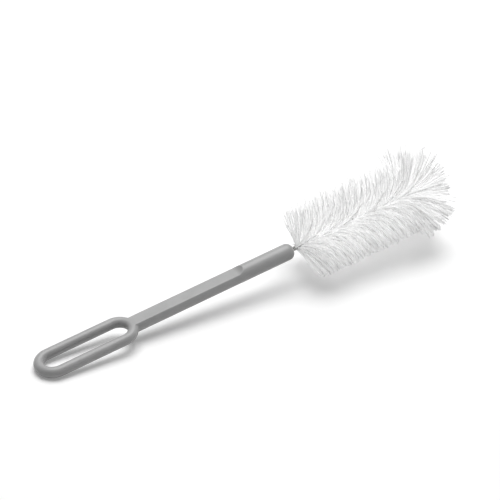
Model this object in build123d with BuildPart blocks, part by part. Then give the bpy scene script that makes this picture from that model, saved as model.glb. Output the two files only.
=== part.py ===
import os
from math import acos, atan2, cos, degrees, hypot, radians, sin, tan

from build123d import *

# Bottle brush: a one-piece moulded handle with a hanging loop, a wire bent double and twisted on
# itself, and the filaments that the twist grips. It lies on a level surface at Z = 0, carried by the
# loop's outer bend and by the first rim of its head. All lengths are millimetres.
# "Along" is measured on the brush's own axis, from the centre of the loop's outer bend.

# Handle
bar_diameter = 10.5            # round part of the handle
flat_thickness = 6.6           # across the two flats of the grip, and through the loop
flat_edge_radius = 0.5         # rounding along the edges of the flats
runout_radius = 8.0            # scoop in which each flat ends
round_length = 41.2            # plain round stretch, from the end of the flats to the handle's end
handle_end_radius = 4.0        # rounding of the handle's free end
grip_length = 123.4            # from the centre of the loop's inner bend to the handle's end
loop_bar_width = 6.4           # thickness of the loop, seen from above
loop_edge_radius = 3.1         # rounding of the loop's edges, which makes its bar nearly round
loop_bend_radius = 9.0         # centre line of the loop's two bends
loop_straight = 43.6           # between the centres of the two bends
root_fillet = 2.4              # in the corners between the loop and the grip
root_reach = 6.0               # how far the loop's root runs on inside the grip
root_inset = 0.05              # how far the root's sides lie inside the grip's sides
cut_margin = 1.0               # how far a cutter stands out of what it cuts

# Wire
strand_diameter = 1.3
filament_diameter = 0.25       # what the two strands grip between them
twist_pitch = 11.0             # length of one full turn of the twist
wire_seat = 24.0               # length of wire held inside the handle
wire_fit = 0.05                # radial clearance of the twisted pair in the handle
seat_end_gap = 0.6             # from the wire's lower end to the bottom of its hole
wire_reach = 87.0              # from the handle's end to the wire's bent tip

# Filaments
root_gap = 2.2                 # bare wire between the handle and the first filaments
head_radius = 24.2             # tips of the head's filaments
root_lean = 19.0               # degrees that the first filaments lean towards the wire's tip
tuft_radius = 30.0             # tips of the longer filaments at the wire's tip
tuft_lean = 12.0               # degrees that the tuft's first filaments lean towards the wire's tip
tuft_start = 7.6               # from the wire's tip back to the tuft's first filaments
row_gap = 0.3                  # between the head's last filaments and the tuft's first ones
core_gap = 0.15                # radial, between the twisted pair and the filaments' solids
tip_gap = 0.3                  # between the wire's bent tip and the tuft

# Radii and places along the axis that follow from the sizes above
bar_radius = bar_diameter / 2
flat_half = flat_thickness / 2
loop_outer = loop_bend_radius + loop_bar_width / 2
loop_inner = loop_bend_radius - loop_bar_width / 2
handle_end = loop_straight + grip_length
flats_end = handle_end - round_length
strand_radius = strand_diameter / 2
strand_offset = (strand_diameter + filament_diameter) / 2
pair_radius = strand_offset + strand_radius
wire_start = handle_end - wire_seat
wire_tip = handle_end + wire_reach
twist_end = wire_tip - strand_radius - strand_offset
core_radius = pair_radius + core_gap
head_start = handle_end + root_gap
head_rim = head_start + (head_radius - core_radius) * tan(radians(root_lean))
tuft_back = wire_tip - tuft_start
tuft_rim = tuft_back + (tuft_radius - core_radius) * tan(radians(tuft_lean))
head_end = tuft_back - row_gap / cos(radians(tuft_lean))
head_end_rim = head_end + (head_radius - core_radius) * tan(radians(tuft_lean))

# Lying pose: the round of the loop's outer bend and the head's first rim both touch Z = 0.
edge_drop = flat_half - loop_edge_radius
edge_out = loop_outer - loop_edge_radius
rim_drop = head_radius - edge_drop
rim_out = head_rim + edge_out
lie_angle = acos(loop_edge_radius / hypot(rim_drop, rim_out)) - atan2(rim_out, rim_drop)
axis_height = loop_edge_radius + edge_drop * cos(lie_angle) + edge_out * sin(lie_angle)
near_end = -edge_out * cos(lie_angle) - edge_drop * sin(lie_angle) - loop_edge_radius
far_end = tuft_rim * cos(lie_angle) + tuft_radius

# The brush's own plane: x runs along the axis to the tip, y across, z square to the loop's face.
lie = Plane(
    origin=(-(near_end + far_end) / 2, 0, axis_height),
    x_dir=(cos(lie_angle), 0, sin(lie_angle)),
    z_dir=(-sin(lie_angle), 0, cos(lie_angle)),
)
upright = Plane(origin=lie.origin, x_dir=lie.x_dir, z_dir=-lie.y_dir)
brush_axis = Axis(lie.origin, lie.x_dir)
face_axis = Axis(lie.origin, lie.z_dir)


# Plane square to the axis, whose x runs across the brush and whose y runs up
def across(along):
    return Plane(origin=lie.from_local_coords(Vector(along, 0, 0)), x_dir=lie.y_dir, z_dir=lie.x_dir)


os.makedirs("parts", exist_ok=True)

# Loop: a slotted ring with its root, in one thickness, rounded all over.
with BuildPart() as loop:
    with BuildSketch(lie) as ring:
        with Locations((loop_straight / 2, 0)):
            SlotCenterToCenter(loop_straight, 2 * loop_outer)
        with Locations((loop_straight, 0)):
            Rectangle(loop_outer + root_reach, bar_diameter - 2 * root_inset, align=(Align.MIN, Align.CENTER))
        fillet(ring.vertices().group_by(Axis.X)[-2], root_fillet)
        with Locations((loop_straight / 2, 0)):
            SlotCenterToCenter(loop_straight, 2 * loop_inner, mode=Mode.SUBTRACT)
    extrude(amount=flat_half, both=True)
    rims = loop.faces().filter_by(face_axis).edges()
    root_ends = rims.sort_by(brush_axis)[-2:]
    fillet(rims - root_ends, loop_edge_radius)

# Handle: a round bar with two flats that end in scoops. It starts on the loop's centre line, and has
# a round hole in its free end for the wire.
with BuildPart() as handle:
    with BuildSketch(across(loop_straight)):
        Circle(bar_radius)
    extrude(amount=grip_length)
    fillet(handle.faces().sort_by(brush_axis)[-1].edges(), handle_end_radius)
    with BuildSketch(upright) as flats:
        with BuildLine():
            flat_line = Line((loop_straight - cut_margin, flat_half), (flats_end, flat_half))
            scoop_angle = degrees(acos(1 - (bar_radius + cut_margin - flat_half) / runout_radius))
            scoop = CenterArc((flats_end, flat_half + runout_radius), runout_radius, 270, scoop_angle)
            Polyline(scoop @ 1, ((flat_line @ 0).X, (scoop @ 1).Y), flat_line @ 0)
        make_face()
        mirror(about=Plane.XZ)
    extrude(amount=bar_diameter, both=True, mode=Mode.SUBTRACT)
    fillet(handle.faces().filter_by(face_axis).edges().filter_by(brush_axis), flat_edge_radius)
    with BuildSketch(lie.offset(-bar_diameter)):
        with Locations((loop_straight, 0)):
            Circle(loop_bend_radius)
    extrude(amount=2 * bar_diameter, mode=Mode.SUBTRACT)
    add(loop.part)
    with BuildSketch(across(handle_end)):
        Circle(pair_radius + wire_fit)
    extrude(amount=-(wire_seat + seat_end_gap), mode=Mode.SUBTRACT)
handle.part.label = "handle"
export_step(handle.part, "parts/handle.step")

# Strand: one leg of the wire, a helix about the brush's axis.
with BuildPart() as strand:
    with BuildLine() as helix:
        Helix(twist_pitch, twist_end - wire_start, strand_offset, across(wire_start).origin, lie.x_dir)
    with BuildSketch(Plane(origin=helix.line @ 0, z_dir=helix.line % 0)):
        Circle(strand_radius)
    sweep(path=helix.line, is_frenet=True)

# Core wire: the strand, its twin half a turn round the axis, and the bend that joins them at the tip.
twin_strand = strand.part.rotate(brush_axis, 180)
twin_helix = helix.line.rotate(brush_axis, 180)
bend_top = lie.from_local_coords(Vector(wire_tip - strand_radius, 0, 0))
with BuildPart() as core_wire:
    add(strand.part)
    add(twin_strand)
    with BuildLine() as bend:
        Spline(helix.line @ 1, bend_top, twin_helix @ 1, tangents=(helix.line % 1, -(twin_helix % 1)))
    with BuildSketch(Plane(origin=bend.line @ 0, z_dir=bend.line % 0)):
        Circle(strand_radius)
    sweep(path=bend.line)
core_wire.part.label = "core_wire"
export_step(core_wire.part, "parts/core_wire.step")

# Head filaments: the outer shape of all the filaments of the head, open along the wire.
with BuildPart() as head_filaments:
    with BuildSketch(upright):
        with BuildLine():
            Polyline(
                (head_start, core_radius),
                (head_rim, head_radius),
                (head_end_rim, head_radius),
                (head_end, core_radius),
                close=True,
            )
        make_face()
    revolve(axis=brush_axis)
head_filaments.part.label = "head_filaments"
export_step(head_filaments.part, "parts/head_filaments.step")

# Tip filaments: the outer shape of the longer filaments, which fan out over the wire's tip.
with BuildPart() as tip_filaments:
    with BuildSketch(upright):
        with BuildLine():
            back = Line((tuft_back, core_radius), (tuft_rim, tuft_radius))
            dome = CenterArc((tuft_rim, 0), tuft_radius, 90, -90)
            Polyline(dome @ 1, (wire_tip + tip_gap, 0), (wire_tip + tip_gap, core_radius), back @ 0)
        make_face()
    revolve(axis=brush_axis)
tip_filaments.part.label = "tip_filaments"
export_step(tip_filaments.part, "parts/tip_filaments.step")

print("lying angle, degrees:", round(degrees(lie_angle), 3))
print("length along X:", round(far_end - near_end, 2))
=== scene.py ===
import math

import bpy
import numpy as np
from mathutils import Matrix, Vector


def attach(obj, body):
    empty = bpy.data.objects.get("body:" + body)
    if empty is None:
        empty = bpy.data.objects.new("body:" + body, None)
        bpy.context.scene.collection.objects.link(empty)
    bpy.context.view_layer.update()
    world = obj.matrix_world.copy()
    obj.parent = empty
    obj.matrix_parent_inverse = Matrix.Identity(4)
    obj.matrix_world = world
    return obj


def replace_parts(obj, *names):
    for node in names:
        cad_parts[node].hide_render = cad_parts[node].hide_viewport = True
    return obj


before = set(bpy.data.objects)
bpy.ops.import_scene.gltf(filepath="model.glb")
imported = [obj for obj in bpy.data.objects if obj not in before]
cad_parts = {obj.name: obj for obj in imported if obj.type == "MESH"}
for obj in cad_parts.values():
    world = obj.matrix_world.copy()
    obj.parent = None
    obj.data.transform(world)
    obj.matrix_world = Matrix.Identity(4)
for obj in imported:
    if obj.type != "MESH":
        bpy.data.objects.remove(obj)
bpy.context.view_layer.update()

# Bottle brush on a pale floor. Everything is in metres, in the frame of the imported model.
# mm() lets the sizes below be read in millimetres.
scene = bpy.context.scene


def mm(value):
    return value / 1000.0


def srgb(hexText):
    # sRGB hex to linear RGBA
    parts = [int(hexText[i:i + 2], 16) / 255 for i in (1, 3, 5)]
    linear = [c / 12.92 if c <= 0.04045 else ((c + 0.055) / 1.055) ** 2.4 for c in parts]
    return (*linear, 1.0)


def unit(vector):
    return vector / np.linalg.norm(vector)


def nodePoints(name):
    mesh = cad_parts[name].data
    points = np.empty(len(mesh.vertices) * 3)
    mesh.vertices.foreach_get("co", points)
    return points.reshape(-1, 3)


# The brush's own axis is read from the wire, and the ends of its parts from their nodes
wirePoints = nodePoints("core_wire")
wireCentre = wirePoints.mean(0)
axisDir = np.linalg.svd(wirePoints - wireCentre, full_matrices=False)[2][0]
axisDir = unit(axisDir * np.sign(axisDir[0]) * np.array([1.0, 0.0, 1.0]))  # it lies in the XZ plane
sideDir = np.array([0.0, 1.0, 0.0])
upDir = np.array([-axisDir[2], 0.0, axisDir[0]])


def along(points):
    # distance on the axis, from the wire's middle
    return (points - wireCentre) @ axisDir


def onAxis(distance):
    return wireCentre + axisDir * distance


def reach(points):
    # distance from the axis
    offset = points - wireCentre
    return np.linalg.norm(offset - np.outer(offset @ axisDir, axisDir), axis=1)


headPoints = nodePoints("head_filaments")
tipPoints = nodePoints("tip_filaments")
handlePoints = nodePoints("handle")
headStart, headEnd = along(headPoints).min(), along(tipPoints).min()
headReach = reach(headPoints).max()
tipReach = reach(tipPoints).max()
wireEnd = along(wirePoints).max()
tipFront = along(tipPoints).max()
print("axis", axisDir.round(4), "head", round(headStart, 4), round(headEnd, 4), "reach", round(headReach, 4))


def newMaterial(name, colour):
    material = bpy.data.materials.new(name)
    material.use_nodes = True
    material.diffuse_color = srgb(colour)
    return material


def addNode(material, kind, settings=None, inputs=None, links=None):
    # settings are properties, inputs are socket values, links are (from node, output, input)
    node = material.node_tree.nodes.new(kind)
    for key, value in (settings or {}).items():
        setattr(node, key, value)
    for key, value in (inputs or {}).items():
        node.inputs[key].default_value = value
    for source, output, target in links or []:
        material.node_tree.links.new(source.outputs[output], node.inputs[target])
    return node


def shaderOf(material):
    return material.node_tree.nodes["Principled BSDF"]


def setColours(ramp, stops):
    for element, (position, colour) in zip(ramp.color_ramp.elements, stops):
        element.position = position
        element.color = srgb(colour)


def seenDirectly(material):
    # 1 for what the camera, a reflection or a clear piece sees, 0 for light that falls on things
    rays = addNode(material, "ShaderNodeLightPath")
    seen = addNode(material, "ShaderNodeMath", {"operation": "MAXIMUM"},
                   links=[(rays, "Is Camera Ray", 0), (rays, "Is Glossy Ray", 1)])
    return addNode(material, "ShaderNodeMath", {"operation": "MAXIMUM"},
                   links=[(seen, "Value", 0), (rays, "Is Transmission Ray", 1)])


handleLook = {
    "colour": "#a2a2a2",
    "colourLow": "#9f9f9f",
    "colourHigh": "#a5a5a5",
    "cloudSize": mm(9.0),      # slow drift of the pigment
    "grainSize": mm(0.35),     # spark-eroded texture of the mould
    "grainHeight": mm(0.006),
    "roughness": 0.36,
    "ior": 1.49,               # polypropylene
    "stops": (0.35, 0.65),     # where the noise turns from the low colour to the high one
    "cloudDetail": 3.0,
    "grainDetail": 2.0,
    "grainStrength": 0.5,
}


def mouldedPolypropylene(look):
    # Moulded polypropylene: satin, soft-edged highlights, and a very fine grain from the mould
    material = newMaterial("mouldedPolypropylene", look["colour"])
    shader = shaderOf(material)
    shader.inputs["IOR"].default_value = look["ior"]
    shader.inputs["Roughness"].default_value = look["roughness"]
    place = addNode(material, "ShaderNodeTexCoord")
    clouds = addNode(material, "ShaderNodeTexNoise",
                     inputs={"Scale": 1 / look["cloudSize"], "Detail": look["cloudDetail"]},
                     links=[(place, "Object", "Vector")])
    tint = addNode(material, "ShaderNodeValToRGB", links=[(clouds, "Fac", "Fac")])
    setColours(tint, zip(look["stops"], (look["colourLow"], look["colourHigh"])))
    material.node_tree.links.new(tint.outputs["Color"], shader.inputs["Base Color"])
    grain = addNode(material, "ShaderNodeTexNoise",
                    inputs={"Scale": 1 / look["grainSize"], "Detail": look["grainDetail"]},
                    links=[(place, "Object", "Vector")])
    bump = addNode(material, "ShaderNodeBump",
                   inputs={"Distance": look["grainHeight"], "Strength": look["grainStrength"]},
                   links=[(grain, "Fac", "Height")])
    material.node_tree.links.new(bump.outputs["Normal"], shader.inputs["Normal"])
    return material


wireLook = {
    "colour": "#9a9a98",
    "dark": "#7c7c7a",
    "light": "#a8a8a6",
    "spangleSize": mm(0.8),    # patches of the zinc
    "roughness": 0.38,
    "metallic": 1.0,
    "stops": (0.1, 0.8),
}


def galvanisedWire(look):
    # Galvanised steel wire: grey metal with a dull, slightly patchy shine
    material = newMaterial("galvanisedWire", look["colour"])
    shader = shaderOf(material)
    shader.inputs["Metallic"].default_value = look["metallic"]
    shader.inputs["Roughness"].default_value = look["roughness"]
    place = addNode(material, "ShaderNodeTexCoord")
    patches = addNode(material, "ShaderNodeTexVoronoi", inputs={"Scale": 1 / look["spangleSize"]},
                      links=[(place, "Object", "Vector")])
    tint = addNode(material, "ShaderNodeValToRGB", links=[(patches, "Distance", "Fac")])
    setColours(tint, zip(look["stops"], (look["dark"], look["light"])))
    material.node_tree.links.new(tint.outputs["Color"], shader.inputs["Base Color"])
    return material


milkyLook = {
    "name": "milkyNylonFilament",
    "colour": "#fafafa",
    "colourLow": "#f4f4f4",
    "colourHigh": "#fefefe",
    "strandSize": mm(2.5),     # neighbouring filaments differ a little
    "roughness": 0.34,
    "ior": 1.53,               # nylon
    "stops": (0.35, 0.65),
    "detail": 2.0,
    "inner": 0.28,             # painted light: a glow that stands in for the light reaching a filament through the thousands around it
}

# Painted shade: every third filament is coloured greyer and glows less, to stand for filaments lying in the
# shade of their neighbours, so that single filaments show in the white head
paintedShadeLook = dict(milkyLook, name="paintedShadeNylonFilament", colour="#e2e2e2", colourLow="#dcdcdc",
                 colourHigh="#e8e8e8", inner=0.12)


def nylonFilament(look):
    # Extruded nylon filament: milky white, with a painted glow (emission) that stands in for the light
    # passing through the filaments around it
    material = newMaterial(look["name"], look["colour"])
    shader = shaderOf(material)
    shader.inputs["IOR"].default_value = look["ior"]
    shader.inputs["Roughness"].default_value = look["roughness"]
    # painted light: the filaments glow a little, for light that the lamps don't bring to them
    shader.inputs["Emission Color"].default_value = srgb(look["colour"])
    shader.inputs["Emission Strength"].default_value = look["inner"]
    place = addNode(material, "ShaderNodeTexCoord")
    mottle = addNode(material, "ShaderNodeTexNoise",
                     inputs={"Scale": 1 / look["strandSize"], "Detail": look["detail"]},
                     links=[(place, "Object", "Vector")])
    tint = addNode(material, "ShaderNodeValToRGB", links=[(mottle, "Fac", "Fac")])
    setColours(tint, zip(look["stops"], (look["colourLow"], look["colourHigh"])))
    material.node_tree.links.new(tint.outputs["Color"], shader.inputs["Base Color"])
    return material


def giveMaterial(obj, material):
    obj.data.materials.clear()
    obj.data.materials.append(material)


milkyNylon = nylonFilament(milkyLook)
paintedShadeNylon = nylonFilament(paintedShadeLook)
giveMaterial(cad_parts["handle"], mouldedPolypropylene(handleLook))
giveMaterial(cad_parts["core_wire"], galvanisedWire(wireLook))
print("materials done")


filamentSpec = {
    "diameter": mm(0.50),      # coarser than the real 0.25, so that single ones show
    "sides": 3,
    "segments": 6,
    # every third filament is coloured greyer, as painted shade
    "paintedShadeEvery": 3,
    "floorGap": mm(0.25),
    "upReach": mm(1.4),        # the upper ones stand a little longer than the pressed ones
    "pressedPower": 1.5,       # how fast the pressing fades away from straight down
    "parting": -50.4,          # degrees from straight up, where the filaments part to both sides
    "partingReach": 34.0,      # degrees from there to where they sweep away from it most
    "partingSweep": mm(8.0),
    "nearlyAlong": 0.8,        # cosine past which a filament counts as lying along the axis
}

headSpec = {
    "seed": 11,
    "count": 2100,
    "twistPitch": mm(11.0),    # turns of the wire set the two rows of filaments
    "evenStep": 0.618034,      # golden ratio, spreads the filaments evenly over a row
    "rowSpread": 52.0,         # degrees that a filament strays from its row
    "rootLean": 14.0,          # degrees towards the tip, at the first filaments
    "lean": 8.0,               # and from about leanRun onwards
    "leanRun": mm(10.0),
    "leanSpread": 1.5,
    "wave": 4.0,               # neighbouring rows lean in turn a little more and less
    "waveLength": mm(7.0),
    "downLean": 8.0,           # extra, where the weight of the brush presses on them
    "downBend": mm(2.5),       # and they bow towards the tip there
    "reachSpread": mm(0.35),
    "bend": mm(0.6),           # sideways sweep of a filament, at its tip
    "rootSpread": mm(0.4),
    "tipSpread": mm(0.5),
}

tuftSpec = {
    "seed": 23,
    "count": 760,
    "leanFrom": 7.0,           # degrees towards the tip, first and last of those to the sides
    "leanTo": 42.0,
    "leanPower": 1.5,
    "forwardFrom": 64.0,       # degrees, the least lean of those that point forward
    "forwardShare": 0.22,
    "forwardCut": 0.90,        # they end a little before the front of the CAD node
    "tipPart": 0.15,           # share of the tuft's wire that holds them
    "downLean": 6.0,
    "downBend": mm(3.0),
    "reachSpread": mm(0.6),
    "bend": mm(1.8),
    "rootSpread": mm(0.4),
    "tipSpread": mm(0.8),
}


def around(angle):
    # direction square to the axis, from straight up (0) towards the brush's left side
    return math.cos(angle) * upDir + math.sin(angle) * sideDir


def filamentPath(root, direction, length, sweep):
    # a run that bends sideways more and more towards its tip, and stays above the floor
    t = np.linspace(0.0, 1.0, filamentSpec["segments"] + 1)[:, None]
    shorten = length / np.linalg.norm(direction * length + sweep)
    path = root + (direction * length * t + sweep * t ** 2) * shorten
    path[:, 2] = np.maximum(path[:, 2], filamentSpec["floorGap"])
    return path


def tubes(name, paths, material):
    # every path becomes one closed tube, and all of them one mesh
    sides, radius = filamentSpec["sides"], filamentSpec["diameter"] / 2
    paths = np.array(paths)
    count, rings, _ = paths.shape
    tangents = np.gradient(paths, axis=1)
    tangents /= np.linalg.norm(tangents, axis=2, keepdims=True)
    lying = np.abs(tangents @ axisDir)[..., None] >= filamentSpec["nearlyAlong"]
    first = np.cross(tangents, np.where(lying, sideDir, axisDir))
    first /= np.linalg.norm(first, axis=2, keepdims=True)
    second = np.cross(tangents, first)
    corners = np.arange(sides) * 2 * math.pi / sides
    ring = first[:, :, None, :] * np.cos(corners)[None, None, :, None]
    ring = ring + second[:, :, None, :] * np.sin(corners)[None, None, :, None]
    points = (paths[:, :, None, :] + ring * radius).reshape(-1, 3)
    base = (np.arange(count) * rings * sides)[:, None, None]
    level = (np.arange(rings - 1) * sides)[None, :, None]
    here = np.arange(sides)[None, None, :]
    there = (here + 1) % sides
    quads = np.stack([base + level + here, base + level + there,
                      base + level + sides + there, base + level + sides + here], axis=-1).reshape(-1, 4)
    starts = (base[:, 0, 0][:, None] + np.arange(sides)[None, ::-1])
    ends = (base[:, 0, 0][:, None] + (rings - 1) * sides + np.arange(sides)[None, :])
    mesh = bpy.data.meshes.new(name)
    mesh.from_pydata(points.tolist(), [], quads.tolist() + starts.tolist() + ends.tolist())
    mesh.polygons.foreach_set("use_smooth", [True] * len(mesh.polygons))
    mesh.update()
    obj = bpy.data.objects.new(name, mesh)
    scene.collection.objects.link(obj)
    giveMaterial(obj, material)
    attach(obj, "root")
    print(name, count, "filaments,", len(quads) * 2 + len(starts) + len(ends), "triangles")
    return obj


def filament(rng, place, angle, lean, length, spec):
    outward = around(angle)
    pressed = max(0.0, -outward[2]) ** filamentSpec["pressedPower"]
    lean = math.radians(lean + spec["downLean"] * pressed)
    length = length + filamentSpec["upReach"] * max(0.0, outward[2])
    direction = math.cos(lean) * outward + math.sin(lean) * axisDir
    # it sweeps away from the parting, most at partingReach from it and not at all far away
    apart = math.degrees(math.remainder(angle, 2 * math.pi)) - filamentSpec["parting"]
    apart = apart / filamentSpec["partingReach"]
    parted = apart * math.exp(0.5 - 0.5 * apart ** 2)
    sweep = unit(rng.normal(size=3)) * rng.normal() * spec["bend"] + axisDir * spec["downBend"] * pressed
    sweep = sweep + around(angle + math.pi / 2) * parted * filamentSpec["partingSweep"] * math.cos(lean)
    root = onAxis(place + rng.normal() * spec["rootSpread"])
    spread = rng.normal(size=3) * spec["tipSpread"]
    own = length + rng.normal() * spec["reachSpread"]
    return filamentPath(root, direction, own, sweep + spread)


def headPaths(spec):
    rng = np.random.default_rng(spec["seed"])
    paths = []
    length = headReach / math.cos(math.radians(spec["lean"]))
    for i in range(spec["count"]):
        share = (i + 0.5) / spec["count"]
        place = headStart + share * (headEnd - headStart)
        row = 2 * math.pi * place / spec["twistPitch"] + math.pi * (i % 2)
        angle = row + math.radians((2 * (i * spec["evenStep"] % 1) - 1) * spec["rowSpread"])
        ease = math.exp(-((place - headStart) / spec["leanRun"]) ** 2)
        lean = spec["lean"] + (spec["rootLean"] - spec["lean"]) * ease + rng.normal() * spec["leanSpread"]
        lean += spec["wave"] * math.sin(2 * math.pi * place / spec["waveLength"] + 2 * angle)
        paths.append(filament(rng, place, angle, lean, length, spec))
    return paths


def tuftPaths(spec):
    rng = np.random.default_rng(spec["seed"])
    paths = []
    span = wireEnd - headEnd
    for i in range(spec["count"]):
        share = (i + rng.random()) / spec["count"] / (1 - spec["forwardShare"])
        angle = rng.random() * 2 * math.pi
        if share > 1:
            lean = 90.0 - (90.0 - spec["forwardFrom"]) * math.sqrt(rng.random())
            place = wireEnd - rng.random() * spec["tipPart"] * span
            length = (tipFront - wireEnd) * spec["forwardCut"]
        else:
            lean = spec["leanFrom"] + (spec["leanTo"] - spec["leanFrom"]) * share ** spec["leanPower"]
            place = headEnd + share * span * (1 - spec["tipPart"])
            length = tipReach
        paths.append(filament(rng, place, angle, lean, length, spec))
    return paths


def layFilaments(name, paths, node):
    # two meshes for each node: the milky filaments, and every third one coloured greyer as painted shade
    step = filamentSpec["paintedShadeEvery"]
    clear = [path for i, path in enumerate(paths) if i % step == 0]
    milky = [path for i, path in enumerate(paths) if i % step]
    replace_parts(tubes(name + "Milky", milky, milkyNylon), node)
    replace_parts(tubes(name + "PaintedShade", clear, paintedShadeNylon), node)


layFilaments("headFilaments", headPaths(headSpec), "head_filaments")
layFilaments("tipFilaments", tuftPaths(tuftSpec), "tip_filaments")
print("filaments done")


floorSpec = {
    "size": 6.0,
    "colour": "#f2f2f2",
    "roughness": 1.0,
    "specular": 0.0,
    "glow": 0.19,              # seen by the camera only, so that the floor reads as white
}


def paleFloor(spec):
    half = spec["size"] / 2
    mesh = bpy.data.meshes.new("floor")
    corners = [(-half, -half, 0), (half, -half, 0), (half, half, 0), (-half, half, 0)]
    mesh.from_pydata(corners, [], [(0, 1, 2, 3)])
    floor = bpy.data.objects.new("floor", mesh)
    scene.collection.objects.link(floor)
    # Matt painted board: flat and even, without shine
    material = newMaterial("paintedBoard", spec["colour"])
    shader = shaderOf(material)
    shader.inputs["Base Color"].default_value = srgb(spec["colour"])
    shader.inputs["Roughness"].default_value = spec["roughness"]
    shader.inputs["Specular IOR Level"].default_value = spec["specular"]
    strength = addNode(material, "ShaderNodeMath", {"operation": "MULTIPLY"}, {1: spec["glow"]},
                       links=[(seenDirectly(material), "Value", 0)])
    shader.inputs["Emission Color"].default_value = srgb("#ffffff")
    material.node_tree.links.new(strength.outputs["Value"], shader.inputs["Emission Strength"])
    giveMaterial(floor, material)


lightSpec = {
    "skyStrength": 0.12,
    "skySeen": 1.0,            # white where it shows
    "keyPlace": (0.60, 0.65, 2.60),
    "keySize": 2.4,
    "keyPower": 84.0,
    "target": (0.0, 0.0, 0.02),
    "mostBounces": 24,
    "diffuseBounces": 16,      # white filaments pass the light on many times
}


def studio(spec):
    world = bpy.data.worlds.new("studio")
    world.use_nodes = True
    scene.world = world
    strength = addNode(world, "ShaderNodeMapRange",
                       inputs={"To Min": spec["skyStrength"], "To Max": spec["skySeen"]},
                       links=[(seenDirectly(world), "Value", "Value")])
    background = world.node_tree.nodes["Background"]
    background.inputs["Color"].default_value = srgb("#ffffff")
    world.node_tree.links.new(strength.outputs["Result"], background.inputs["Strength"])
    lamp = bpy.data.lights.new("softbox", "AREA")
    lamp.shape = "SQUARE"
    lamp.size = spec["keySize"]
    lamp.energy = spec["keyPower"]
    softbox = bpy.data.objects.new("softbox", lamp)
    softbox.location = spec["keyPlace"]
    look = Vector(spec["target"]) - softbox.location
    softbox.rotation_euler = look.to_track_quat("-Z", "Y").to_euler()
    scene.collection.objects.link(softbox)


# The camera looks at a point on the brush's axis, from its loop end and slightly above
cameraSpec = {
    "turn": 57.7,              # degrees from +X towards +Y that it looks
    "down": 34.9,
    "distance": mm(1707.0),
    "aimAlong": mm(146.65),    # from the centre of the loop's outer bend
    "aimSide": mm(16.0),
    "bendToEnd": mm(12.2),
    "lens": 202.0,
    "sensor": 36.0,
    "farthest": 50.0,
}


def standCamera(spec):
    loopEnd = along(handlePoints).min() + spec["bendToEnd"]
    aim = onAxis(loopEnd + spec["aimAlong"]) + sideDir * spec["aimSide"]
    turn, down = math.radians(spec["turn"]), math.radians(spec["down"])
    look = Vector((math.cos(down) * math.cos(turn), math.cos(down) * math.sin(turn), -math.sin(down)))
    camera = bpy.data.objects.new("camera", bpy.data.cameras.new("camera"))
    camera.data.lens = spec["lens"]
    camera.data.sensor_width = spec["sensor"]
    camera.data.clip_end = spec["farthest"]
    camera.location = Vector(aim.tolist()) - look * spec["distance"]
    camera.rotation_euler = look.to_track_quat("-Z", "Y").to_euler()
    scene.collection.objects.link(camera)
    scene.camera = camera


paleFloor(floorSpec)
studio(lightSpec)
standCamera(cameraSpec)
scene.view_settings.view_transform = "Standard"
scene.cycles.max_bounces = lightSpec["mostBounces"]
scene.cycles.diffuse_bounces = lightSpec["diffuseBounces"]
print("stage done")
